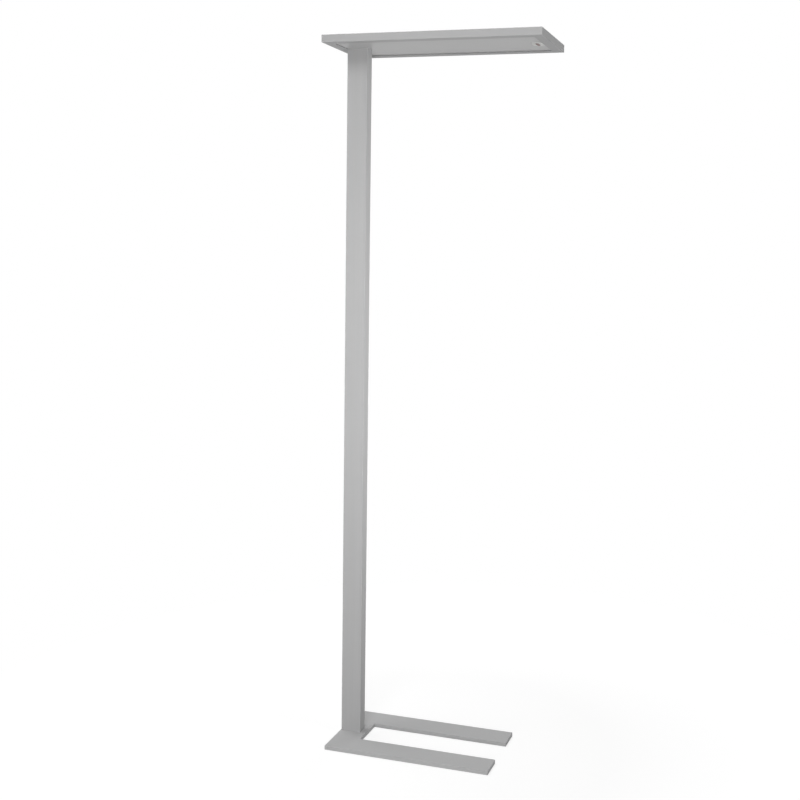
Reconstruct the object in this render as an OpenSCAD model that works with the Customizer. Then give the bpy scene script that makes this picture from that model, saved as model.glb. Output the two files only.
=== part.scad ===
// Free-standing office floor lamp: a U-shaped base plate, a flat rectangular
// column and a thin rectangular head that reaches over the desk.
// Frame: origin on the floor below the middle of the head, +X from the column
// towards the free end of the head, +Z up. Millimetres.

/* [Overall] */
// Height of the lamp above the floor
overall_h = 1950; // [1700:10:2100]

/* [Head] */
// Length of the head along X
head_l = 600; // [560:5:700]
// Width of the head along Y
head_w = 246; // [230:2:320]
// Overhang of the head behind the column
head_back = 27; // [27:1:34]
// Width of the frame's lower lip, seen round the diffuser
lip_w = 27; // [22:0.5:27]
// Depth of the diffuser behind the lip
recess = 2.5; // [2:0.1:3]

/* [Column] */
// Column size along X
column_l = 58; // [56:1:66]
// Column size along Y
column_w = 32; // [32:1:36]
// Height of the push-button's middle above the floor
button_z = 1150; // [1120:5:1160]

/* [Base] */
// Length of the base along X
base_l = 474; // [420:2:520]
// Width of the base along Y
base_w = 246; // [236:2:270]
// Thickness of the steel plate
base_t = 11; // [10:0.5:14]
// Length of the solid part under the column
spine_l = 77; // [73:1:92]
// Gap between the two prongs
notch_w = 105; // [95:5:120]

/* [Sensor] */
// Distance from the head's free end to the sensor's middle
sensor_inset = 42; // [42:1:80]
// Size of the sensor's pale plate along X
sensor_l = 29; // [26:1:29]
// Size of the sensor's pale plate along Y
sensor_w = 32; // [30:1:36]

/* [Hidden] */
$fn = 48;

// Small amounts: cutters overshoot by eps, loose parts keep a slip gap
eps = 1;
slip = 0.3;

// Screws: shank, clearance hole, head and hexagon socket radii, head heights
m6_r = 2.7;
m6_hole_r = 3.3;
m6_head_r = 5;
m6_head_h = 4;
m6_socket_r = 2.9;
m6_cone_r = 5.5;
m6_cone_socket_r = 1.9;
m6_reach = 30;
m4_r = 1.9;
m4_hole_r = 2.1;
m4_cone_r = 4;
m4_socket_r = 1.25;
m3_r = 1.4;
m3_hole_r = 1.6;
m3_head_r = 2.5;
m3_head_h = 1.8;
m3_socket_r = 1;
m3_grip = 6;
cone_h = 2.4;
cone_slip = 0.2;

// Base and its glides
glide_r = 12;
glide_t = 3;
glide_proud = 1;
glide_inset = 30;
corner_r = 2;
column_set_in = 3;
base_x0 = -head_l / 2 + head_back - column_set_in;
base_x1 = base_x0 + base_l;
base_top = glide_proud + base_t;
prong_w = (base_w - notch_w) / 2;
prong_y = notch_w / 2 + prong_w / 2;
glide_x = [base_x0 + glide_inset, base_x0 + base_l / 2, base_x1 - glide_inset];

// Column: a hollow section with a screw port in each corner
column_x = base_x0 + column_set_in + column_l / 2;
column_wall = 3;
column_edge_r = 0.6;
port_r = 5;
port_bore_r = 2.75;
port_inset = 4;
inner_y = column_w / 2 - column_wall;
outer_y = column_w / 2;
port_x = column_l / 2 - column_wall - port_inset;
port_y = inner_y - port_inset;

// Washers under the base screws, in counterbores under the plate
washer_r = 6;
washer_t = 1.6;
counterbore_r = 6.3;
counterbore_h = 7;
counterbore_top = counterbore_h - washer_t;

// Lead entry near the foot, on the far face
entry_z = 50;
entry_hole_r = 6;
entry_bore_r = 3.6;
grommet_r = 8.5;
grommet_back_r = 7.5;
grommet_rim = 1.5;

// Gear tray inside the column, fixed to the far wall on two spacers
tray_t = 1.5;
tray_w = 32;
tray_gap = 3.5;
tray_y = inner_y - tray_gap - tray_t;
tray_z0 = 64;
tray_z1 = 1190;
tray_screw_z = [76, 1178];
spacer_r = 4;
terminal = [24, 13, 30];
terminal_z = 86;
terminal_pitch = 7.5;
terminal_hole_r = 1.8;
terminal_hole_l = 8;
driver = [30, 19, 280];
driver_z = 780;
driver_top = driver_z + driver[2];
clip_w = 6;
clip_t = 1;
clip_out = 8;
clip_x = driver[0] / 2 - clip_w / 2;
clip_z = [driver_z - clip_out, driver_top];
supply_r = 3;
output_r = 2.5;
switch_lead_r = 1.5;
supply_y = -3;
output_y = -5;
switch_lead_x = 4;

// Push-button on the far face: it travels along -Y until it is flush with its bezel
button_r = 8;
button_travel = 1;
bezel_r = 11.5;
bezel_t = 1.2;
bezel_neck_r = 9.6;
bezel_hole_r = 9.7;
bezel_bore_r = 8.3;
bezel_back = inner_y - 0.4;
rim_r = 9;
rim_t = 1.2;
rim_y = bezel_back - 0.4 - rim_t;
stem_r = 1.6;
stem_hole_r = 3.6;
stem_y = tray_y - 1.2;
switch_size = [12, 5.5, 12];
switch_bore_r = 2;
switch_bore_l = 3.5;
switch_z = button_z - switch_size[2] / 2;

// Head: heights above the lower face of the lip
head_t = 20;
head_z0 = overall_h - head_t;
rail_t = 2;
lip_undercut = 1.8;
block_w = 6;
block_z = [4.8, 9];
ledge_w = 4;
ledge_z = [16, 17.5];
diffuser_t = 2;
guide_z = [4.5, 8.5];
reflector_t = 0.5;
carrier_z = [9, 12];
carrier_top = head_z0 + carrier_z[1];
cover_t = 2;
panel_margin = rail_t + slip;
screw_u = 5;
screw_inset = 20;
mid_screw_x = 95;
bracket_l = 30;
bracket_w = 8;
bracket_t = 2;
carrier_hole_r = 4;
column_top = head_z0 + carrier_z[0];
column_gap = 0.5;

// Lights
strip_t = 1;
strip_w = 3.9;
strip_z = guide_z[0] + 0.1;
led = [3, 0.7, 2.6];
led_lift = 0.7;
led_pitch = 12;
strip_l = head_l - 70;
guide_margin_x = rail_t + block_w + 1;
guide_margin_y = rail_t + block_w + strip_t + led[1] + slip;
up_board = [440, 30, 1.6];
up_board_x = 30;
up_board_y = 62;
up_led = [3, 3, 0.7];
up_led_pitch = 20;
ribbon = [6, 0.8];
junction = [30, 28, 1.6];
connector = [16, 6, 2];
connector_y = 9;

// Sensor: heights above the lower face of the lip; its window is a lens across the plate
sensor_x = head_l / 2 - sensor_inset;
sensor_gap = 0.5;
sensor_corner_r = 5;
sensor_face = -0.2;
sensor_board_z = 7.4;
sensor_board_t = 1.6;
sensor_board_r = 13;
sensor_cable_r = 6;
window_r = 4.3;
window_l = 28;
window_crown = 2.2;
crown_r = (pow(window_r, 2) + pow(window_crown, 2)) / (2 * window_crown);

// ---- Shared shapes ----

// Rectangle with round corners, from true arcs
module round_rect(x0, x1, y0, y1, r) {
    translate([x0 + r, y0]) square([x1 - x0 - 2 * r, y1 - y0]);
    translate([x0, y0 + r]) square([x1 - x0, y1 - y0 - 2 * r]);
    for (x = [x0 + r, x1 - r], y = [y0 + r, y1 - r]) translate([x, y]) circle(r);
}

// Slot with round ends along Y
module slot(r, l) {
    square([2 * r, l - 2 * r], center = true);
    for (sy = [-1, 1]) translate([0, sy * (l / 2 - r)]) circle(r);
}

// The sensor's plate, grown by a margin
module sensor_outline(margin) {
    x = sensor_l / 2 + margin;
    y = sensor_w / 2 + margin;
    round_rect(-x, x, -y, y, sensor_corner_r + margin);
}

// Box centred on X and Y, standing on z0
module block(size, z0) {
    translate([-size[0] / 2, -size[1] / 2, z0]) cube(size);
}

// The screws beside the driver's two ends, along +Y
module at_driver_screws() {
    for (z = clip_z, sx = [-1, 1]) translate([sx * clip_x, 0, 0])
        toward_far(z + clip_out / 2) children();
}

// Turns a shape made along +Z so that it runs along +Y from the column's axis
module toward_far(z) {
    translate([column_x, 0, z]) rotate([-90, 0, 0]) children();
}

// The four screw ports' places
module at_ports() {
    for (sx = [-1, 1], sy = [-1, 1]) translate([column_x + sx * port_x, sy * port_y, 0]) children();
}

// Screw along +Z with its head above z = 0, a hexagon socket in the head
module pan_screw(r, reach, head_r, head_h, socket_r) {
    difference() {
        union() {
            cylinder(r = head_r, h = head_h);
            translate([0, 0, -reach]) cylinder(r = r, h = reach + head_h / 2);
        }
        translate([0, 0, head_h * 0.4]) cylinder(r = socket_r, h = head_h, $fn = 6);
    }
}

// Countersunk screw along +Z, its head flush with z = 0
module flush_screw(r, reach, head_r, head_h, socket_r) {
    difference() {
        union() {
            translate([0, 0, -head_h]) cylinder(r1 = r, r2 = head_r, h = head_h);
            translate([0, 0, -reach]) cylinder(r = r, h = reach - head_h / 2);
        }
        translate([0, 0, -head_h * 0.6]) cylinder(r = socket_r, h = head_h + eps, $fn = 6);
    }
}

// Section of a head rail: u inward from the outer face, v up from the lip, whose
// edge is undercut so that it reads as a dark line round the diffuser
module rail_section() {
    square([rail_t, head_t]);
    polygon([[0, 0], [lip_w, 0], [lip_w - lip_undercut, recess], [0, recess]]);
    translate([0, block_z[0]]) square([rail_t + block_w, block_z[1] - block_z[0]]);
    translate([0, ledge_z[0]]) square([rail_t + ledge_w, ledge_z[1] - ledge_z[0]]);
}

// One mitred rail whose outer face is at y = -width / 2
module rail(length, width) {
    intersection() {
        translate([-length / 2, -width / 2, head_z0]) rotate([90, 0, 90])
            linear_extrude(height = length) rail_section();
        translate([0, 0, head_z0 - eps]) linear_extrude(height = head_t + 2 * eps)
            polygon([
                [-length / 2, -width / 2], [length / 2, -width / 2],
                [length / 2 - lip_w, -width / 2 + lip_w], [-length / 2 + lip_w, -width / 2 + lip_w]
            ]);
    }
}

// Places of the screws that hold rails and carrier plate
module at_corner_screws() {
    for (sx = [-1, 1], sy = [-1, 1]) {
        translate([sx * (head_l / 2 - screw_inset), sy * (head_w / 2 - screw_u)]) children();
        translate([sx * (head_l / 2 - screw_u), sy * (head_w / 2 - screw_inset)]) children();
    }
}
module at_mid_screws() {
    for (sx = [-1, 1], sy = [-1, 1])
        translate([sx * mid_screw_x, sy * (head_w / 2 - screw_u)]) children();
}

// A panel inside the head, cut out round the column and the sensor
module head_panel(margin_x, margin_y, z, t, gap) {
    difference() {
        block([head_l - 2 * margin_x, head_w - 2 * margin_y, t], head_z0 + z);
        translate([column_x, 0, 0])
            block([column_l + 2 * gap, column_w + 2 * gap, t + 2 * eps], head_z0 + z - eps);
        translate([sensor_x, 0, head_z0 + z - eps]) linear_extrude(height = t + 2 * eps)
            sensor_outline(sensor_gap);
    }
}

// ---- Base ----

module base_plate() {
    color([0.70, 0.70, 0.71]) difference() {
        translate([0, 0, glide_proud]) linear_extrude(height = base_t) union() {
            round_rect(base_x0, base_x0 + spine_l, -base_w / 2, base_w / 2, corner_r);
            for (sy = [-1, 1])
                round_rect(base_x0, base_x1, sy * prong_y - prong_w / 2,
                           sy * prong_y + prong_w / 2, corner_r);
        }
        for (x = glide_x, sy = [-1, 1]) translate([x, sy * prong_y, -eps])
            cylinder(r = glide_r + slip, h = eps + glide_t);
        at_ports() {
            cylinder(r = m6_hole_r, h = base_top + eps);
            cylinder(r = counterbore_r, h = counterbore_h);
        }
    }
}

module glide_pads() {
    color([0.12, 0.12, 0.12]) for (x = glide_x, sy = [-1, 1])
        translate([x, sy * prong_y, 0]) cylinder(r = glide_r, h = glide_t);
}

module base_screws() {
    color([0.45, 0.45, 0.47]) at_ports()
        translate([0, 0, counterbore_top]) rotate([180, 0, 0])
            pan_screw(m6_r, m6_reach, m6_head_r, m6_head_h, m6_socket_r);
}

module base_washers() {
    color([0.62, 0.62, 0.64]) at_ports() translate([0, 0, counterbore_top]) difference() {
        cylinder(r = washer_r, h = washer_t);
        translate([0, 0, -eps]) cylinder(r = m6_r + slip, h = washer_t + 2 * eps);
    }
}

// ---- Column ----

module column_section() {
    difference() {
        round_rect(-column_l / 2, column_l / 2, -outer_y, outer_y, column_edge_r);
        translate([-column_l / 2 + column_wall, -inner_y])
            square([column_l - 2 * column_wall, 2 * inner_y]);
    }
    for (sx = [-1, 1], sy = [-1, 1]) intersection() {
        translate([sx * port_x, sy * port_y]) circle(port_r);
        square([column_l - column_wall, column_w - column_wall], center = true);
    }
}

module column() {
    color([0.70, 0.70, 0.71]) difference() {
        translate([column_x, 0, base_top]) linear_extrude(height = column_top - base_top)
            difference() {
                column_section();
                for (sx = [-1, 1], sy = [-1, 1])
                    translate([sx * port_x, sy * port_y]) circle(port_bore_r);
            }
        toward_far(entry_z) cylinder(r = entry_hole_r, h = outer_y + eps);
        toward_far(button_z) cylinder(r = bezel_hole_r, h = outer_y + eps);
        for (z = tray_screw_z) toward_far(z) {
            cylinder(r = m4_hole_r, h = outer_y + eps);
            translate([0, 0, outer_y - cone_h])
                cylinder(r1 = m4_hole_r, r2 = m4_cone_r + cone_slip, h = cone_h);
        }
    }
}

module cable_grommet() {
    color([0.10, 0.10, 0.10]) toward_far(entry_z) rotate_extrude() difference() {
        union() {
            translate([0, inner_y - grommet_rim]) square([grommet_back_r, grommet_rim]);
            translate([0, inner_y - grommet_rim]) square([entry_hole_r, column_wall + 2 * grommet_rim]);
            translate([0, outer_y]) square([grommet_r, grommet_rim]);
        }
        translate([-eps, 0]) square([eps + entry_bore_r, outer_y + 2 * grommet_rim + eps]);
    }
}

module gear_tray() {
    color([0.78, 0.79, 0.80]) difference() {
        translate([column_x - tray_w / 2, tray_y, tray_z0])
            cube([tray_w, tray_t, tray_z1 - tray_z0]);
        for (z = tray_screw_z) toward_far(z) cylinder(r = m4_r, h = outer_y);
        toward_far(button_z) cylinder(r = stem_hole_r, h = outer_y);
        at_driver_screws() cylinder(r = m3_r, h = outer_y);
    }
}

module tray_spacers() {
    color([0.62, 0.62, 0.64]) for (z = tray_screw_z) toward_far(z) difference() {
        translate([0, 0, tray_y + tray_t]) cylinder(r = spacer_r, h = inner_y - tray_y - tray_t);
        cylinder(r = m4_hole_r, h = outer_y);
    }
}

module tray_screws() {
    color([0.62, 0.62, 0.64]) for (z = tray_screw_z) toward_far(z)
        translate([0, 0, outer_y]) flush_screw(m4_r, outer_y - tray_y + 1, m4_cone_r, cone_h, m4_socket_r);
}

module terminal_block() {
    color([0.90, 0.90, 0.88]) difference() {
        translate([column_x - terminal[0] / 2, tray_y - terminal[1], terminal_z]) cube(terminal);
        for (i = [-1:1]) translate([column_x + i * terminal_pitch, 0, terminal_z]) {
            translate([0, tray_y - terminal[1] / 2, -eps])
                cylinder(r = terminal_hole_r, h = terminal_hole_l + eps);
            translate([0, tray_y - terminal[1] - eps, terminal_hole_l]) rotate([-90, 0, 0])
                cylinder(r = terminal_hole_r, h = terminal_hole_l / 2 + eps);
        }
    }
}

module supply_lead() {
    color([0.85, 0.85, 0.83]) translate([column_x, supply_y, terminal_z + terminal[2]])
        cylinder(r = supply_r, h = driver_z - terminal_z - terminal[2]);
}

module led_driver() {
    color([0.93, 0.93, 0.92])
        translate([column_x - driver[0] / 2, tray_y - driver[1], driver_z]) cube(driver);
}

// Sheet clips that hold the driver's two ends against the tray
module driver_clips() {
    color([0.78, 0.79, 0.80]) difference() {
        for (z = clip_z, sx = [-1, 1])
            translate([column_x + sx * clip_x - clip_w / 2, tray_y - clip_t, z])
                cube([clip_w, clip_t, clip_out]);
        at_driver_screws() cylinder(r = m3_hole_r, h = outer_y);
    }
}

module driver_screws() {
    color([0.62, 0.62, 0.64]) at_driver_screws() translate([0, 0, tray_y - clip_t]) rotate([180, 0, 0])
        pan_screw(m3_r, clip_t + tray_t + 1, m3_head_r, m3_head_h, m3_socket_r);
}

module output_lead() {
    color([0.85, 0.85, 0.83]) translate([column_x, output_y, driver_top])
        cylinder(r = output_r, h = carrier_top - driver_top);
}

// ---- Push-button ----

module button_switch() {
    color([0.12, 0.12, 0.13]) difference() {
        translate([column_x - switch_size[0] / 2, tray_y - switch_size[1], switch_z])
            cube(switch_size);
        toward_far(button_z) translate([0, 0, tray_y - switch_bore_l])
            cylinder(r = switch_bore_r, h = switch_bore_l + eps);
    }
}

module switch_lead() {
    color([0.85, 0.85, 0.83]) translate([column_x + switch_lead_x, tray_y - switch_size[1] / 2, driver_top])
        cylinder(r = switch_lead_r, h = switch_z - driver_top);
}

module button_bezel() {
    color([0.55, 0.55, 0.57]) toward_far(button_z) rotate_extrude() difference() {
        union() {
            translate([0, outer_y]) square([bezel_r, bezel_t]);
            translate([0, bezel_back]) square([bezel_neck_r, outer_y - bezel_back + bezel_t]);
        }
        translate([-eps, 0]) square([eps + bezel_bore_r, outer_y + bezel_t + eps]);
    }
}

module dimmer_button() {
    color([0.80, 0.80, 0.81]) toward_far(button_z) {
        translate([0, 0, rim_y]) cylinder(r = rim_r, h = rim_t);
        translate([0, 0, rim_y]) cylinder(r = button_r, h = outer_y + bezel_t + button_travel - rim_y);
        translate([0, 0, stem_y]) cylinder(r = stem_r, h = rim_y + rim_t / 2 - stem_y);
    }
}

// ---- Head frame ----

module rail_holes() {
    translate([0, 0, head_z0 + block_z[0] - eps]) {
        at_corner_screws() cylinder(r = m3_r, h = carrier_z[0]);
        at_mid_screws() cylinder(r = m3_r, h = carrier_z[0]);
    }
}
module rail_near() {
    color([0.70, 0.70, 0.71]) difference() { rail(head_l, head_w); rail_holes(); }
}
module rail_far() {
    color([0.70, 0.70, 0.71]) difference() { rotate([0, 0, 180]) rail(head_l, head_w); rail_holes(); }
}
module rail_column_end() {
    color([0.70, 0.70, 0.71]) difference() { rotate([0, 0, -90]) rail(head_w, head_l); rail_holes(); }
}
module rail_free_end() {
    color([0.70, 0.70, 0.71]) difference() { rotate([0, 0, 90]) rail(head_w, head_l); rail_holes(); }
}

module carrier_plate() {
    color([0.80, 0.81, 0.82]) difference() {
        block([head_l - 2 * panel_margin, head_w - 2 * panel_margin, carrier_z[1] - carrier_z[0]],
              head_z0 + carrier_z[0]);
        translate([0, 0, head_z0]) {
            at_corner_screws() cylinder(r = m3_hole_r, h = head_t);
            at_mid_screws() cylinder(r = m3_hole_r, h = head_t);
            translate([column_x, output_y]) cylinder(r = carrier_hole_r, h = head_t);
            translate([sensor_x, 0]) cylinder(r = sensor_cable_r, h = head_t);
            at_ports() {
                cylinder(r = m6_hole_r, h = head_t);
                translate([0, 0, carrier_z[1] - cone_h])
                    cylinder(r1 = m6_hole_r, r2 = m6_cone_r + cone_slip, h = cone_h);
            }
        }
    }
}

module carrier_screws() {
    color([0.62, 0.62, 0.64]) at_ports() translate([0, 0, carrier_top])
        flush_screw(m6_r, m6_reach, m6_cone_r, cone_h, m6_cone_socket_r);
}

module corner_brackets() {
    color([0.62, 0.62, 0.64]) difference() {
        for (sx = [-1, 1], sy = [-1, 1]) scale([sx, sy, 1])
            translate([head_l / 2 - panel_margin, head_w / 2 - panel_margin, carrier_top])
                linear_extrude(height = bracket_t) union() {
                    translate([-bracket_l, -bracket_w]) square([bracket_l, bracket_w]);
                    translate([-bracket_w, -bracket_l]) square([bracket_w, bracket_l]);
                }
        translate([0, 0, head_z0]) at_corner_screws() cylinder(r = m3_hole_r, h = head_t);
    }
}

module corner_screws() {
    color([0.45, 0.45, 0.47]) translate([0, 0, carrier_top + bracket_t])
        at_corner_screws() pan_screw(m3_r, bracket_t + m3_grip, m3_head_r, m3_head_h, m3_socket_r);
}

module rail_screws() {
    color([0.45, 0.45, 0.47]) translate([0, 0, carrier_top])
        at_mid_screws() pan_screw(m3_r, m3_grip, m3_head_r, m3_head_h, m3_socket_r);
}

// ---- Optics ----

module diffuser_panel() {
    color([0.72, 0.72, 0.72])
        head_panel(panel_margin, panel_margin, recess, diffuser_t, column_gap);
}
module light_guide() {
    color([0.85, 0.92, 0.95, 0.6])
        head_panel(guide_margin_x, guide_margin_y, guide_z[0], guide_z[1] - guide_z[0], column_gap);
}
module reflector_sheet() {
    color([0.97, 0.97, 0.97])
        head_panel(guide_margin_x, guide_margin_x, guide_z[1], reflector_t, column_gap);
}

// LED strip on a long rail's block, lighting the guide's edge
module led_strip(sy) {
    board_y = head_w / 2 - rail_t - block_w - strip_t;
    last_x = strip_l / 2 - led_pitch;
    scale([1, sy, 1]) {
        color([0.95, 0.95, 0.93]) translate([-strip_l / 2, board_y, head_z0 + strip_z])
            cube([strip_l, strip_t, strip_w]);
        color([0.95, 0.85, 0.35]) for (x = [-last_x : led_pitch : last_x])
            translate([x - led[0] / 2, board_y - led[1], head_z0 + strip_z + led_lift]) cube(led);
    }
}
module led_strip_near() { led_strip(-1); }
module led_strip_far() { led_strip(1); }

module uplight_board(sy) {
    last_x = up_board[0] / 2 - up_led_pitch;
    translate([up_board_x, sy * up_board_y, 0]) {
        color([0.95, 0.95, 0.93]) block(up_board, carrier_top);
        color([0.95, 0.85, 0.35]) for (x = [-last_x : up_led_pitch : last_x])
            translate([x, 0, 0]) block(up_led, carrier_top + up_board[2]);
    }
}
module uplight_board_near() { uplight_board(-1); }
module uplight_board_far() { uplight_board(1); }

module upper_cover() {
    color([0.90, 0.92, 0.93, 0.7])
        block([head_l - 2 * panel_margin, head_w - 2 * panel_margin, cover_t], head_z0 + ledge_z[1]);
}

// ---- Wiring and sensor in the head ----

module junction_board() {
    translate([column_x, 0, 0]) {
        color([0.10, 0.35, 0.20]) block(junction, carrier_top);
        color([0.93, 0.93, 0.90]) for (sy = [-1, 1])
            translate([0, sy * connector_y, 0]) block(connector, carrier_top + junction[2]);
    }
}

module sensor_lead() {
    x0 = column_x + junction[0] / 2;
    color([0.90, 0.90, 0.88]) translate([x0, -ribbon[0] / 2, carrier_top])
        cube([sensor_x - sensor_cable_r - x0, ribbon[0], ribbon[1]]);
}

module sensor_board() {
    color([0.10, 0.35, 0.20]) translate([sensor_x, 0, head_z0 + sensor_board_z])
        cylinder(r = sensor_board_r, h = sensor_board_t);
}

// Pale plate round the window
module sensor_bezel() {
    color([0.88, 0.88, 0.87]) translate([sensor_x, 0, head_z0 + sensor_face])
        linear_extrude(height = sensor_board_z - sensor_face) difference() {
            sensor_outline(0);
            slot(window_r + slip, window_l + 2 * slip);
        }
}

// Dark window with a crowned face
module sensor_window() {
    reach = window_l / 2 - window_r;
    color([0.38, 0.28, 0.26]) translate([sensor_x, 0, head_z0 + sensor_face]) {
        linear_extrude(height = sensor_board_z - sensor_face) slot(window_r, window_l);
        intersection() {
            translate([0, 0, -window_crown]) linear_extrude(height = window_crown + eps)
                slot(window_r, window_l);
            translate([0, 0, crown_r - window_crown]) {
                rotate([90, 0, 0]) cylinder(r = crown_r, h = 2 * reach, center = true);
                for (sy = [-1, 1]) translate([0, sy * reach, 0]) sphere(crown_r);
            }
        }
    }
}

base_plate();
glide_pads();
base_screws();
base_washers();
column();
cable_grommet();
gear_tray();
tray_spacers();
tray_screws();
terminal_block();
supply_lead();
led_driver();
driver_clips();
driver_screws();
output_lead();
button_switch();
switch_lead();
button_bezel();
dimmer_button();
rail_near();
rail_far();
rail_column_end();
rail_free_end();
corner_brackets();
corner_screws();
rail_screws();
carrier_plate();
carrier_screws();
diffuser_panel();
light_guide();
reflector_sheet();
led_strip_near();
led_strip_far();
uplight_board_near();
uplight_board_far();
upper_cover();
junction_board();
sensor_lead();
sensor_board();
sensor_bezel();
sensor_window();
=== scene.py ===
"""Looks of a slim office floor lamp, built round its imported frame. Metres, Z up."""

import math

import bmesh
import bpy
from mathutils import Matrix, Vector


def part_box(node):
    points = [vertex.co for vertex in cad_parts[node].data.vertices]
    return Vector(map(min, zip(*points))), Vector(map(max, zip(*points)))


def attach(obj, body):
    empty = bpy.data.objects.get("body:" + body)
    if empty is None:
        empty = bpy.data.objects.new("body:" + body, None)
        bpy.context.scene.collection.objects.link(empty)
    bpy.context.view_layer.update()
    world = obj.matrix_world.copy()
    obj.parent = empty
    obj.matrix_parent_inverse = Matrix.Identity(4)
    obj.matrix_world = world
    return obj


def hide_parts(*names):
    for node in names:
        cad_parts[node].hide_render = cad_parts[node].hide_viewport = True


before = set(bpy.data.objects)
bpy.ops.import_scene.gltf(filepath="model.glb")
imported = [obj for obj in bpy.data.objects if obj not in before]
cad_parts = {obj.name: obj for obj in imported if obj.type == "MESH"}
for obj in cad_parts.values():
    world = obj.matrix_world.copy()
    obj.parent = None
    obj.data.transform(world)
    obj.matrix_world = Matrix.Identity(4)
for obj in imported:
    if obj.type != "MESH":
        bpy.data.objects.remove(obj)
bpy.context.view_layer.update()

MM = 0.001
TINY = 0.001 * MM
LAMP = "lamp"
BUTTON = "button"


# ---- Mesh tools ----

def fillet(points, steps=5):
    """Outline with its corners rounded: each point is (x, y) or (x, y, radius)."""
    outline = []
    count = len(points)
    for i, point in enumerate(points):
        here = Vector(point[:2])
        radius = point[2] if len(point) > 2 else 0
        if radius == 0:
            outline.append(here)
            continue
        back = (Vector(points[i - 1][:2]) - here).normalized()
        ahead = (Vector(points[(i + 1) % count][:2]) - here).normalized()
        half = back.angle(ahead) / 2
        centre = here + (back + ahead).normalized() * (radius / math.sin(half))
        first = here + back * (radius / math.tan(half)) - centre
        last = here + ahead * (radius / math.tan(half)) - centre
        sweep = first.angle_signed(last)
        for k in range(steps + 1):
            outline.append(centre + Matrix.Rotation(-sweep * k / steps, 2) @ first)
    return outline


def new_object(name, bm, smooth_angle=35):
    """Object from a bmesh: smooth across gentle edges, flat across sharp ones."""
    bmesh.ops.recalc_face_normals(bm, faces=bm.faces)
    mesh = bpy.data.meshes.new(name)
    bm.to_mesh(mesh)
    bm.free()
    mesh.shade_smooth()
    mesh.set_sharp_from_angle(angle=math.radians(smooth_angle))
    obj = bpy.data.objects.new(name, mesh)
    bpy.context.scene.collection.objects.link(obj)
    return obj


FAVOUR_LARGE_FACES = 100


def even_normals(obj):
    """Keeps large flats flat beside their rounded edges."""
    modifier = obj.modifiers.new("even normals", "WEIGHTED_NORMAL")
    modifier.keep_sharp = True
    modifier.weight = FAVOUR_LARGE_FACES
    apply_modifiers(obj)
    return obj


def apply_modifiers(obj):
    """Bakes an object's modifiers into its mesh."""
    graph = bpy.context.evaluated_depsgraph_get()
    graph.update()
    mesh = bpy.data.meshes.new_from_object(obj.evaluated_get(graph))
    obj.modifiers.clear()
    obj.data = mesh


def ring_points(half_x, half_y, radius, height, steps):
    """Points round a rectangle with round corners; a circle where all three sizes agree."""
    points = []
    for corner, (sx, sy) in enumerate(((1, 1), (-1, 1), (-1, -1), (1, -1))):
        for k in range(steps + 1):
            a = math.pi / 2 * (corner + k / steps)
            x = sx * (half_x - radius) + radius * math.cos(a)
            y = sy * (half_y - radius) + radius * math.sin(a)
            points.append(Vector((x, y, height)))
    return points


def loft(name, rings, place, axis=(0, 0, 1), steps=24, closed=False, cap=False):
    """Skin over rings of (half_x, half_y, radius, height), set along axis at place."""
    turn = Vector((0, 0, 1)).rotation_difference(Vector(axis)).to_matrix()
    bm = bmesh.new()
    rows = [[bm.verts.new(turn @ p + place) for p in ring_points(*ring, steps)] for ring in rings]
    count = len(rows[0])
    for i in range(len(rows) if closed else len(rows) - 1):
        low, high = rows[i], rows[(i + 1) % len(rows)]
        for k in range(count):
            m = (k + 1) % count
            bm.faces.new((low[k], low[m], high[m], high[k]))
    if cap:
        bm.faces.new(rows[0])
    bmesh.ops.remove_doubles(bm, verts=bm.verts, dist=TINY)
    return new_object(name, bm)


def turned(name, profile, place, axis, closed=False):
    """Round piece from (radius, height) points."""
    return loft(name, [(r, r, r, h) for r, h in profile], place, axis, closed=closed)


# Faces that meet at less than FLAT are one face; at more than CORNER, an edge to ease
FLAT = math.radians(0.5)
CORNER = math.radians(45)


def eased_copy(node, name, width, pick, segments=3):
    """Copy of a CAD node with the picked sharp edges rounded off."""
    bm = bmesh.new()
    bm.from_mesh(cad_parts[node].data)
    bmesh.ops.remove_doubles(bm, verts=bm.verts, dist=TINY)
    bmesh.ops.dissolve_limit(bm, angle_limit=FLAT, verts=bm.verts, edges=bm.edges)
    edges = [
        e for e in bm.edges
        if len(e.link_faces) == 2 and e.calc_face_angle(0) > CORNER and pick(e)
    ]
    bmesh.ops.bevel(
        bm, geom=edges, offset=width, segments=segments, profile=0.5, affect="EDGES", clamp_overlap=True
    )
    return even_normals(new_object(name, bm))


# ---- Material tools ----

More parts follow.
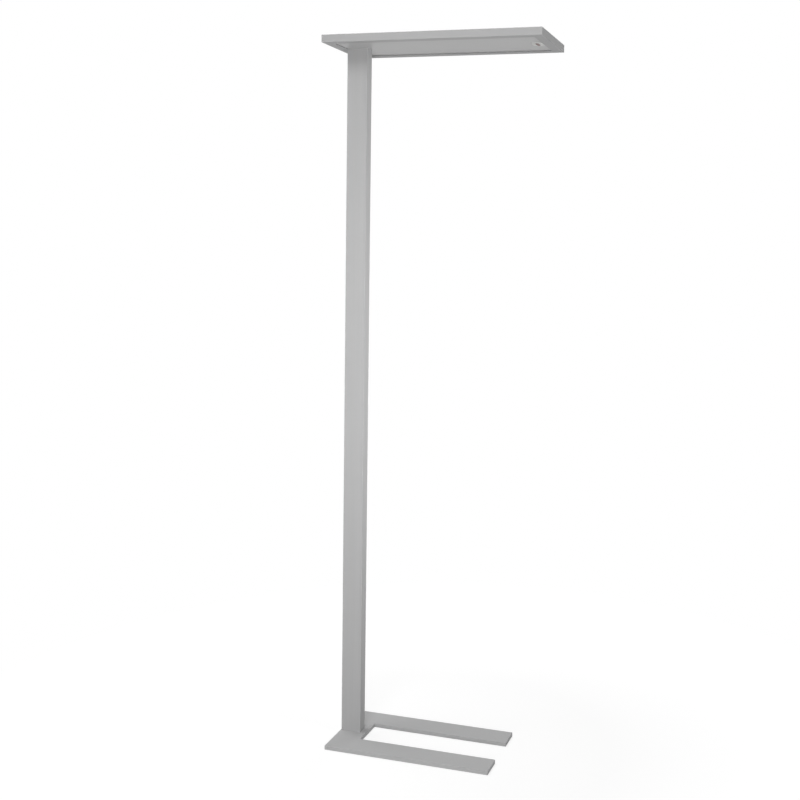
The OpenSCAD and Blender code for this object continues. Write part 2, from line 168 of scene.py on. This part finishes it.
class Shader:
    """A material with short calls for the nodes used here."""

    def __init__(self, name, colour, roughness, metallic=0.0):
        self.material = bpy.data.materials.new(name)
        self.material.use_nodes = True
        self.tree = self.material.node_tree
        self.main = self.tree.nodes["Principled BSDF"]
        self.main.inputs["Base Color"].default_value = (*colour, 1)
        self.main.inputs["Roughness"].default_value = roughness
        self.main.inputs["Metallic"].default_value = metallic
        self.colour = colour
        self.roughness = roughness
        self.place = self.add("ShaderNodeTexCoord").outputs["Object"]
        self.height = None

    def add(self, kind, **settings):
        node = self.tree.nodes.new(kind)
        for key, value in settings.items():
            setattr(node, key, value)
        return node

    def link(self, a, b):
        self.tree.links.new(a, b)

    def set(self, socket, value):
        self.main.inputs[socket].default_value = value

    def math(self, operation, a, b):
        node = self.add("ShaderNodeMath", operation=operation)
        for socket, value in zip(node.inputs, (a, b)):
            if isinstance(value, (int, float)):
                socket.default_value = value
            else:
                self.link(value, socket)
        return node.outputs[0]

    def noise(self, scale, stretch=(1, 1, 1), detail=2.0):
        mapping = self.add("ShaderNodeMapping")
        mapping.inputs["Scale"].default_value = stretch
        self.link(self.place, mapping.inputs["Vector"])
        node = self.add("ShaderNodeTexNoise")
        node.inputs["Scale"].default_value = scale
        node.inputs["Detail"].default_value = detail
        self.link(mapping.outputs[0], node.inputs["Vector"])
        return node.outputs["Fac"]

    def spread(self, fac, low, high):
        """Maps a noise, which mostly lies from 0.3 to 0.7, onto low..high."""
        node = self.add("ShaderNodeMapRange")
        node.inputs["From Min"].default_value = 0.3
        node.inputs["From Max"].default_value = 0.7
        node.inputs["To Min"].default_value = low
        node.inputs["To Max"].default_value = high
        self.link(fac, node.inputs["Value"])
        return node.outputs[0]

    def vary_colour(self, *parts):
        """Multiplies the colour by each part: (noise, share of change)."""
        factor = None
        for fac, share in parts:
            one = self.spread(fac, 1 - share, 1 + share)
            factor = one if factor is None else self.math("MULTIPLY", factor, one)
        tint = self.add("ShaderNodeVectorMath", operation="SCALE")
        tint.inputs[0].default_value = self.colour
        self.link(factor, tint.inputs["Scale"])
        self.link(tint.outputs[0], self.main.inputs["Base Color"])

    def vary_roughness(self, fac, amount):
        value = self.spread(fac, self.roughness - amount, self.roughness + amount)
        self.link(value, self.main.inputs["Roughness"])

    def bump(self, height, depth, strength=1.0):
        node = self.add("ShaderNodeBump")
        node.inputs["Distance"].default_value = depth
        node.inputs["Strength"].default_value = strength
        self.link(height, node.inputs["Height"])
        if self.height is not None:
            self.link(self.height, node.inputs["Normal"])
        self.height = node.outputs["Normal"]
        self.link(self.height, self.main.inputs["Normal"])


# In the materials, noise scales are per metre and bump depths in metres
SILVER = (0.45, 0.45, 0.452)
COAT_SILVER = (0.482, 0.482, 0.484)


def anodised(name, axis):
    """Satin anodised extrusion with die lines along axis (0, 1 or 2)."""
    s = Shader(name, SILVER, 0.6, metallic=0.12)
    s.set("Specular IOR Level", 0.15)
    stretch = [1.0, 1.0, 1.0]
    stretch[axis] = 0.006
    lines = s.noise(700, stretch, detail=3)
    broad = s.noise(90, stretch, detail=1)
    clouds = s.noise(2.5)
    grain = s.noise(2600, detail=1)
    s.vary_colour((lines, 0.02), (broad, 0.012), (clouds, 0.012))
    s.vary_roughness(lines, 0.035)
    s.bump(lines, 0.000012)
    s.bump(grain, 0.000008)
    return s.material


def powder_coat(name):
    """Silver powder coat: fine orange peel with small flakes."""
    s = Shader(name, COAT_SILVER, 0.58, metallic=0.1)
    s.set("Specular IOR Level", 0.12)
    peel = s.noise(1100, detail=2)
    flakes = s.noise(3800, detail=0)
    clouds = s.noise(3)
    s.vary_colour((flakes, 0.05), (clouds, 0.012))
    s.vary_roughness(peel, 0.05)
    s.bump(peel, 0.00002)
    return s.material


def bare_steel(name, colour, roughness):
    """Uncoated steel or zinc with faint lines."""
    s = Shader(name, colour, roughness, metallic=1.0)
    lines = s.noise(1500, (1, 1, 0.1), detail=3)
    s.vary_colour((lines, 0.08), (s.noise(120), 0.05))
    s.vary_roughness(lines, 0.08)
    s.bump(lines, 0.00001)
    return s.material


def moulded(name, colour, roughness, grain=1400, depth=0.00002):
    """Moulded plastic or rubber with a spark-eroded grain."""
    s = Shader(name, colour, roughness)
    texture = s.noise(grain, detail=2)
    s.vary_colour((texture, 0.03), (s.noise(40), 0.02))
    s.vary_roughness(texture, 0.05)
    s.bump(texture, depth)
    return s.material


# Radians that a wave texture of scale 1 turns through in a metre, and the pyramids' depth
# as a share of the step
WAVE_RATE = 20
PRISM_DEPTH = 0.05


def prismatic(name, colour, step):
    """Opal panel with a grid of shallow pyramids, which repeats every 2 pi steps."""
    s = Shader(name, colour, 0.45)
    waves = []
    for direction in ("X", "Y"):
        wave = s.add("ShaderNodeTexWave", bands_direction=direction, wave_profile="TRI")
        wave.inputs["Scale"].default_value = 1 / (step * WAVE_RATE)
        wave.inputs["Detail"].default_value = 0
        s.link(s.place, wave.inputs["Vector"])
        waves.append(wave.outputs["Fac"])
    pyramid = s.math("MINIMUM", *waves)
    s.vary_colour((s.noise(6), 0.01), (s.noise(900), 0.015))
    s.vary_roughness(s.noise(300), 0.04)
    s.bump(pyramid, step * PRISM_DEPTH, 0.6)
    return s.material


def clear(name, colour, roughness):
    """Clear acrylic."""
    s = Shader(name, colour, roughness)
    s.set("Transmission Weight", 0.85)
    s.set("IOR", 1.49)
    s.vary_roughness(s.noise(500), 0.03)
    return s.material


def led_board(name):
    """White solder mask, and the white cases of the diodes on it."""
    s = Shader(name, (0.86, 0.86, 0.84), 0.3)
    s.vary_colour((s.noise(1500), 0.03), (s.noise(60), 0.02))
    s.vary_roughness(s.noise(700), 0.05)
    s.bump(s.noise(1800), 0.00001)
    return s.material


silver_x = anodised("silver_anodised_x", 0)
silver_y = anodised("silver_anodised_y", 1)
silver_z = anodised("silver_anodised_z", 2)
silver_coat = powder_coat("silver_coat")
zinc = bare_steel("zinc_steel", (0.5, 0.5, 0.515), 0.46)
dark_steel = bare_steel("dark_steel", (0.10, 0.10, 0.105), 0.4)
sheet_steel = bare_steel("galvanised_sheet", (0.62, 0.63, 0.64), 0.38)
mill = anodised("mill_aluminium", 0)
black_rubber = moulded("black_rubber", (0.03, 0.03, 0.03), 0.7, grain=900, depth=0.00004)
black_plastic = moulded("black_plastic", (0.04, 0.04, 0.042), 0.5)
white_plastic = moulded("white_plastic", (0.82, 0.82, 0.80), 0.5)
sheath = moulded("lead_sheath", (0.72, 0.72, 0.70), 0.55)
bezel_grey = moulded("bezel_grey", (0.22, 0.22, 0.225), 0.5)
sensor_pale = moulded("sensor_pale", (0.64, 0.64, 0.63), 0.42, depth=0.000004)
sensor_dark = moulded("sensor_dark", (0.21, 0.145, 0.135), 0.42, depth=0.000002)
green_board = moulded("board_green", (0.03, 0.13, 0.06), 0.35)
reflector = moulded("reflector_white", (0.90, 0.90, 0.90), 0.6)
diffuser = prismatic("diffuser_opal", (0.50, 0.50, 0.50), 2.5 * MM)
guide_clear = clear("clear_guide", (0.86, 0.92, 0.94), 0.06)
cover_satin = moulded("cover_satin", (0.70, 0.71, 0.715), 0.4, grain=1800)
board_white = led_board("board_white")
button_face = anodised("button_silver", 0)

CAD_MATERIALS = {
    silver_z: ["column"],
    zinc: ["base_washers", "tray_spacers", "tray_screws", "driver_screws", "carrier_screws",
           "corner_brackets"],
    dark_steel: ["base_screws", "corner_screws", "rail_screws"],
    sheet_steel: ["gear_tray", "driver_clips"],
    mill: ["carrier_plate"],
    white_plastic: ["terminal_block", "led_driver"],
    sheath: ["supply_lead", "output_lead", "switch_lead", "sensor_lead"],
    black_plastic: ["button_switch"],
    diffuser: ["diffuser_panel"],
    guide_clear: ["light_guide"],
    reflector: ["reflector_sheet"],
    board_white: ["led_strip_near", "led_strip_far", "uplight_board_near", "uplight_board_far"],
    cover_satin: ["upper_cover"],
    green_board: ["junction_board", "sensor_board"],
}
for material, nodes in CAD_MATERIALS.items():
    for node in nodes:
        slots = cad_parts[node].data.materials
        slots.clear()
        slots.append(material)


def finish_piece(piece, material, node, body=LAMP):
    """Gives a piece its material and body, and lets it stand for a CAD node."""
    piece.data.materials.clear()
    piece.data.materials.append(material)
    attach(piece, body)
    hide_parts(node)


# ---- Base ----

base_low, base_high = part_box("base_plate")
EASE_BASE = 0.6 * MM
EASE_PADS = 0.5 * MM
# How far beside an edge the outline test looks, and how near its tip a prong is measured
PROBE = 2 * MM
PRONG_END = 3 * MM


def on_outline(edge):
    """Edges of the plate's outer outline, not those of its holes and pockets."""
    a, b = (v.co for v in edge.verts)
    on_face = min(abs(a.z - base_low.z), abs(a.z - base_high.z)) < TINY
    if not on_face or abs(a.z - b.z) > TINY:
        return False
    for face in edge.link_faces:
        n = face.normal
        is_side = abs(n.z) < 0.5
        if is_side:
            return not inside_plate((a + b) / 2 + n * PROBE)
    return False


def inside_plate(point):
    """True over the solid U of the plate, holes counted as solid."""
    if not (base_low.x < point.x < base_high.x and base_low.y < point.y < base_high.y):
        return False
    return point.x < NOTCH_START or abs(point.y) > NOTCH_HALF


def notch():
    """Where the gap between the prongs starts along X, and its half width."""
    top = [v.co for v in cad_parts["base_plate"].data.vertices if base_high.z - v.co.z < TINY]
    half = min(abs(v.y) for v in top if v.x > base_high.x - PRONG_END)
    start = min(v.x for v in top if abs(abs(v.y) - half) < TINY)
    return start, half


NOTCH_START, NOTCH_HALF = notch()
base = eased_copy("base_plate", "base_plate_coated", EASE_BASE, on_outline)
finish_piece(base, silver_coat, "base_plate")


def any_edge(edge):
    return True


pads = eased_copy("glide_pads", "glide_pads_moulded", EASE_PADS, any_edge)
finish_piece(pads, black_rubber, "glide_pads")


# ---- Head frame ----

head_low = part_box("rail_column_end")[0]
head_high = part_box("rail_free_end")[1]
HEAD_L = head_high.x - head_low.x
HEAD_W = head_high.y - head_low.y
HEAD_T = head_high.z - head_low.z
LIP_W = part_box("rail_near")[1].y - head_low.y
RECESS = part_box("diffuser_panel")[0].z - head_low.z
RAIL_T = 2 * MM
# Ribs inside a rail: width beyond its wall, height of the lower and of the upper face
BLOCK = (6 * MM, 4.8 * MM, 9 * MM)
LEDGE = (4 * MM, 16 * MM, 17.5 * MM)
UNDERCUT = 1.8 * MM
# Roundings of the outer corners, the wall's inner edge and the lip, and the mitre's gap a side
EDGE = 0.7 * MM
SMALL_EDGE = 0.35 * MM
LIP_EDGE = 0.15 * MM
SEAM = 0.08 * MM


def rail_section():
    """Section of a rail: distance in from the outer face, height above the lip."""
    block_u = RAIL_T + BLOCK[0]
    ledge_u = RAIL_T + LEDGE[0]
    return fillet([
        (0, 0, EDGE), (LIP_W, 0, LIP_EDGE), (LIP_W - UNDERCUT, RECESS),
        (RAIL_T, RECESS), (RAIL_T, BLOCK[1]), (block_u, BLOCK[1]), (block_u, BLOCK[2]),
        (RAIL_T, BLOCK[2]), (RAIL_T, LEDGE[1]), (ledge_u, LEDGE[1]), (ledge_u, LEDGE[2]),
        (RAIL_T, LEDGE[2]), (RAIL_T, HEAD_T, SMALL_EDGE), (0, HEAD_T, EDGE),
    ])


def rail(name, length, width, turn):
    """A mitred rail along X at the -Y side, turned about Z into its place."""
    place = Matrix.Rotation(turn, 4, "Z")
    section = rail_section()
    bm = bmesh.new()
    ends = []
    for side in (-1, 1):
        ends.append([
            bm.verts.new(place @ Vector((
                side * (length / 2 - max(u, 0) - SEAM), -width / 2 + u, head_low.z + v
            ))) for u, v in section
        ])
    count = len(section)
    for k in range(count):
        m = (k + 1) % count
        bm.faces.new((ends[0][k], ends[0][m], ends[1][m], ends[1][k]))
    for end in ends:
        bm.faces.new(end)
    return even_normals(new_object(name, bm))


for node, length, width, turn, material in (
    ("rail_near", HEAD_L, HEAD_W, 0, silver_x),
    ("rail_far", HEAD_L, HEAD_W, math.pi, silver_x),
    ("rail_column_end", HEAD_W, HEAD_L, -math.pi / 2, silver_y),
    ("rail_free_end", HEAD_W, HEAD_L, math.pi / 2, silver_y),
):
    piece = rail(node + "_profile", length, width, turn)
    finish_piece(piece, material, node)


# ---- Sensor ----

plate_low, plate_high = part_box("sensor_bezel")
lens_low, lens_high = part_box("sensor_window")
SENSOR_PLACE = Vector(((plate_low.x + plate_high.x) / 2, 0, plate_low.z))
PLATE_X = (plate_high.x - plate_low.x) / 2
PLATE_Y = (plate_high.y - plate_low.y) / 2
PLATE_H = plate_high.z - plate_low.z
PLATE_CORNER = 5 * MM
PLATE_EDGE = 0.8 * MM
LENS_X = (lens_high.x - lens_low.x) / 2
LENS_Y = (lens_high.y - lens_low.y) / 2
LENS_CROWN = plate_low.z - lens_low.z
LENS_GAP = 0.2 * MM
LENS_SEAT = 0.3 * MM
EDGE_STEPS = 4
CROWN_STEPS = 12

hole = (LENS_X + LENS_GAP, LENS_Y + LENS_GAP, LENS_X + LENS_GAP)
plate_rings = [(*hole, PLATE_H), (*hole, LENS_SEAT)]
for k in range(EDGE_STEPS + 1):
    a = math.pi / 2 * k / EDGE_STEPS
    inset = PLATE_EDGE * (1 - math.sin(a))
    height = PLATE_EDGE * (1 - math.cos(a))
    plate_rings.append((PLATE_X - inset, PLATE_Y - inset, PLATE_CORNER - inset, height))
plate_rings.append((PLATE_X, PLATE_Y, PLATE_CORNER, PLATE_H))
sensor_plate = loft("sensor_plate_moulded", plate_rings, SENSOR_PLACE, closed=True)
finish_piece(sensor_plate, sensor_pale, "sensor_bezel")

lens_rings = [(LENS_X, LENS_Y, LENS_X, PLATE_H)]
for k in range(CROWN_STEPS + 1):
    a = math.pi / 2 * k / CROWN_STEPS
    half = LENS_X * math.cos(a)
    drop = (LENS_CROWN + LENS_SEAT) * math.sin(a)
    lens_rings.append((half, LENS_Y - LENS_X + half, half, LENS_SEAT - drop))
lens = loft("sensor_lens_crowned", lens_rings, SENSOR_PLACE, cap=True)
finish_piece(lens, sensor_dark, "sensor_window")


# ---- Push-button, bezel and lead entry on the column's far face ----

FAR = (0, 1, 0)
column_low, column_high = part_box("column")
bezel_low, bezel_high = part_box("button_bezel")
button_low, button_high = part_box("dimmer_button")
COLUMN_X = (column_low.x + column_high.x) / 2
BUTTON_PLACE = Vector((COLUMN_X, 0, (bezel_low.z + bezel_high.z) / 2))
BEZEL_R = (bezel_high.x - bezel_low.x) / 2
BEZEL_NECK_R = 9.6 * MM
BEZEL_BORE_R = 8.3 * MM
BEZEL_EDGE = 0.7 * MM
BEZEL_BORE_EDGE = 0.4 * MM
BUTTON_R = 8 * MM
BUTTON_RIM_R = (button_high.x - button_low.x) / 2
# Distances of the rim's back and front from the column's axis
BUTTON_RIM = (11 * MM, 12.2 * MM)
STEM_R = 1.6 * MM

bezel_profile = [tuple(p) for p in fillet([
    (BEZEL_BORE_R, bezel_low.y), (BEZEL_BORE_R, bezel_high.y, BEZEL_BORE_EDGE),
    (BEZEL_R, bezel_high.y, BEZEL_EDGE), (BEZEL_R, column_high.y),
    (BEZEL_NECK_R, column_high.y), (BEZEL_NECK_R, bezel_low.y),
])]
bezel = turned("button_bezel_moulded", bezel_profile, BUTTON_PLACE, FAR, closed=True)
finish_piece(bezel, bezel_grey, "button_bezel")

# The cap: a stem, a rim that the bezel holds, and a round face with a shallow dish
CAP_TOP = button_high.y
CAP_EDGE = 0.6 * MM
CAP_FLAT = 2 * MM
DISH_R = BUTTON_R - CAP_FLAT
DISH_DEPTH = 0.5 * MM
DISH_STEPS = 8
cap_profile = [tuple(p) for p in fillet([
    (0, button_low.y), (STEM_R, button_low.y), (STEM_R, BUTTON_RIM[0]),
    (BUTTON_RIM_R, BUTTON_RIM[0]), (BUTTON_RIM_R, BUTTON_RIM[1]), (BUTTON_R, BUTTON_RIM[1]),
    (BUTTON_R, CAP_TOP, CAP_EDGE), (DISH_R, CAP_TOP),
])]
for k in range(1, DISH_STEPS + 1):
    share = 1 - k / DISH_STEPS
    cap_profile.append((DISH_R * share, CAP_TOP - DISH_DEPTH * (1 - share ** 2)))
cap = turned("dimmer_button_turned", cap_profile, BUTTON_PLACE, FAR)
finish_piece(cap, button_face, "dimmer_button", BUTTON)

grommet_low, grommet_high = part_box("cable_grommet")
GROMMET_PLACE = Vector((COLUMN_X, 0, (grommet_low.z + grommet_high.z) / 2))
GROMMET_R = (grommet_high.x - grommet_low.x) / 2
ENTRY_BORE_R = 3.6 * MM
ENTRY_HOLE_R = 6 * MM
GROMMET_BACK_R = 7.5 * MM
GROMMET_EDGE = 1.1 * MM
GROMMET_BORE_EDGE = 0.9 * MM
GROMMET_BACK_EDGE = 0.5 * MM
COLUMN_WALL = 3 * MM
WALL_INNER = column_high.y - COLUMN_WALL
grommet_profile = [tuple(p) for p in fillet([
    (ENTRY_BORE_R, grommet_low.y, GROMMET_BACK_EDGE),
    (ENTRY_BORE_R, grommet_high.y, GROMMET_BORE_EDGE),
    (GROMMET_R, grommet_high.y, GROMMET_EDGE), (GROMMET_R, column_high.y),
    (ENTRY_HOLE_R, column_high.y), (ENTRY_HOLE_R, WALL_INNER),
    (GROMMET_BACK_R, WALL_INNER), (GROMMET_BACK_R, grommet_low.y, GROMMET_BACK_EDGE),
])]
grommet = turned("cable_grommet_moulded", grommet_profile, GROMMET_PLACE, FAR, closed=True)
finish_piece(grommet, black_rubber, "cable_grommet")


# ---- Stage: floor, background, lamps and camera ----

FLOOR_SIZE = 30
FLOOR_GREY = 0.62
# Beside the lamp this share of the floor is matt and takes a shadow, and the rest glows
# brighter to make up for it; both fade out between two distances
SHADOW_SHARE = 0.42
NEAR_WHITE = 1.38
SHADOW_FADE = (0.5, 1.5)


def faded(tree, distance, near):
    """A value that is near beside the lamp and 1 further away."""
    node = tree.nodes.new("ShaderNodeMapRange")
    node.inputs["From Min"].default_value = SHADOW_FADE[0]
    node.inputs["From Max"].default_value = SHADOW_FADE[1]
    node.inputs["To Min"].default_value = near
    node.inputs["To Max"].default_value = 1
    tree.links.new(distance, node.inputs["Value"])
    return node.outputs[0]


def make_floor():
    """Matt floor; seen directly it is mostly white, and keeps a shadow near the lamp."""
    bm = bmesh.new()
    half = FLOOR_SIZE / 2
    bm.faces.new([bm.verts.new((x, y, 0)) for x, y in
                  ((-half, -half), (half, -half), (half, half), (-half, half))])
    floor = new_object("floor", bm)
    material = bpy.data.materials.new("floor_white")
    material.use_nodes = True
    tree = material.node_tree
    tree.nodes.clear()
    matt = tree.nodes.new("ShaderNodeBsdfDiffuse")
    matt.inputs["Color"].default_value = (FLOOR_GREY, FLOOR_GREY, FLOOR_GREY, 1)
    glow = tree.nodes.new("ShaderNodeEmission")
    place = tree.nodes.new("ShaderNodeTexCoord")
    away = tree.nodes.new("ShaderNodeVectorMath")
    away.operation = "LENGTH"
    tree.links.new(place.outputs["Object"], away.inputs[0])
    white = faded(tree, away.outputs["Value"], 1 - SHADOW_SHARE)
    strength = faded(tree, away.outputs["Value"], NEAR_WHITE)
    tree.links.new(strength, glow.inputs["Strength"])
    share = tree.nodes.new("ShaderNodeMath")
    share.operation = "MULTIPLY"
    tree.links.new(seen_directly(tree), share.inputs[0])
    tree.links.new(white, share.inputs[1])
    mix = tree.nodes.new("ShaderNodeMixShader")
    tree.links.new(share.outputs[0], mix.inputs["Fac"])
    tree.links.new(matt.outputs[0], mix.inputs[1])
    tree.links.new(glow.outputs[0], mix.inputs[2])
    out = tree.nodes.new("ShaderNodeOutputMaterial")
    tree.links.new(mix.outputs[0], out.inputs["Surface"])
    floor.data.materials.append(material)


def seen_directly(tree):
    """1 for camera, mirror and see-through rays, else 0."""
    path = tree.nodes.new("ShaderNodeLightPath")
    total = None
    for ray in ("Is Camera Ray", "Is Glossy Ray", "Is Transmission Ray"):
        if total is None:
            total = path.outputs[ray]
            continue
        add = tree.nodes.new("ShaderNodeMath")
        add.operation = "MAXIMUM"
        tree.links.new(total, add.inputs[0])
        tree.links.new(path.outputs[ray], add.inputs[1])
        total = add.outputs[0]
    return total


WORLD_LIGHT = 0.05


def make_world():
    """White where it is seen directly, and a faint light elsewhere."""
    world = bpy.data.worlds.new("studio")
    bpy.context.scene.world = world
    world.use_nodes = True
    tree = world.node_tree
    tree.nodes.clear()
    light = tree.nodes.new("ShaderNodeBackground")
    light.inputs["Strength"].default_value = WORLD_LIGHT
    white = tree.nodes.new("ShaderNodeBackground")
    white.inputs["Strength"].default_value = 1.0
    for background in (light, white):
        background.inputs["Color"].default_value = (1, 1, 1, 1)
    mix = tree.nodes.new("ShaderNodeMixShader")
    tree.links.new(seen_directly(tree), mix.inputs["Fac"])
    tree.links.new(light.outputs[0], mix.inputs[1])
    tree.links.new(white.outputs[0], mix.inputs[2])
    out = tree.nodes.new("ShaderNodeOutputWorld")
    tree.links.new(mix.outputs[0], out.inputs["Surface"])


# Each lamp: place, the point it faces, size, watts, and for a gridded one its spread in degrees
LAMPS = {
    "front": ((0.3, -3.6, 1.15), (0, 0, 1.1), 1.8, 4.4),
    "front_middle": ((0.5, -2.8, 1.4), (-0.24, 0, 1.3), 0.8, 0.7, 45),
    "front_upper": ((0.2, -2.6, 3.05), (0, 0, 1.2), 1.1, 26.3),
    "front_low": ((0.4, -2.6, 0.35), (0, 0, 1.3), 1.0, 29),
    "right_middle": ((2.5, -0.6, 1.1), (-0.24, 0, 1.1), 0.8, 4.6, 55),
    "right_front": ((1.6, -1.4, 1.1), (-0.24, 0, 1.1), 0.8, 0.8, 50),
    "top_left": ((-1.6, 0, 4.2), (-0.1, 0, 0.2), 2.0, 93),
    "top_right": ((2.4, 0.2, 4.0), (0, 0, 0.5), 2.0, 1.6),
    "back": ((0.2, 3.4, 2.9), (0, 0, 0.9), 1.8, 25),
}


def make_lamp(name, place, target, size, watts, spread=180):
    """Square area lamp at place, turned towards target."""
    light = bpy.data.lights.new(name, "AREA")
    light.shape = "SQUARE"
    light.size = size
    light.energy = watts
    light.spread = math.radians(spread)
    obj = bpy.data.objects.new(name, light)
    bpy.context.scene.collection.objects.link(obj)
    obj.location = place
    obj.rotation_euler = (Vector(target) - Vector(place)).to_track_quat("-Z", "Y").to_euler()
    obj.visible_camera = False


# Camera: place, then turns about Z, X and Y in radians, and the lens
EYE = Vector((0.9753, -2.7853, 1.3920))
YAW = 0.27721
PITCH = -0.07252
ROLL = -0.04266
LENS_MM = 48.69
SENSOR_MM = 36
SHIFT = (-0.13322, -0.07612)


def make_camera():
    data = bpy.data.cameras.new("camera")
    data.sensor_width = SENSOR_MM
    data.lens = LENS_MM
    data.shift_x, data.shift_y = SHIFT
    camera = bpy.data.objects.new("camera", data)
    bpy.context.scene.collection.objects.link(camera)
    turn = Matrix.Rotation(ROLL, 3, "Y") @ Matrix.Rotation(PITCH, 3, "X") @ Matrix.Rotation(YAW, 3, "Z")
    right, ahead, up = turn.col[0], turn.col[1], turn.col[2]
    axes = Matrix((right, up, -ahead)).transposed()
    camera.matrix_world = Matrix.Translation(EYE) @ axes.to_4x4()
    bpy.context.scene.camera = camera


make_floor()
make_world()
for name, settings in LAMPS.items():
    make_lamp(name, *settings)
make_camera()
bpy.context.scene.view_settings.view_transform = "Standard"
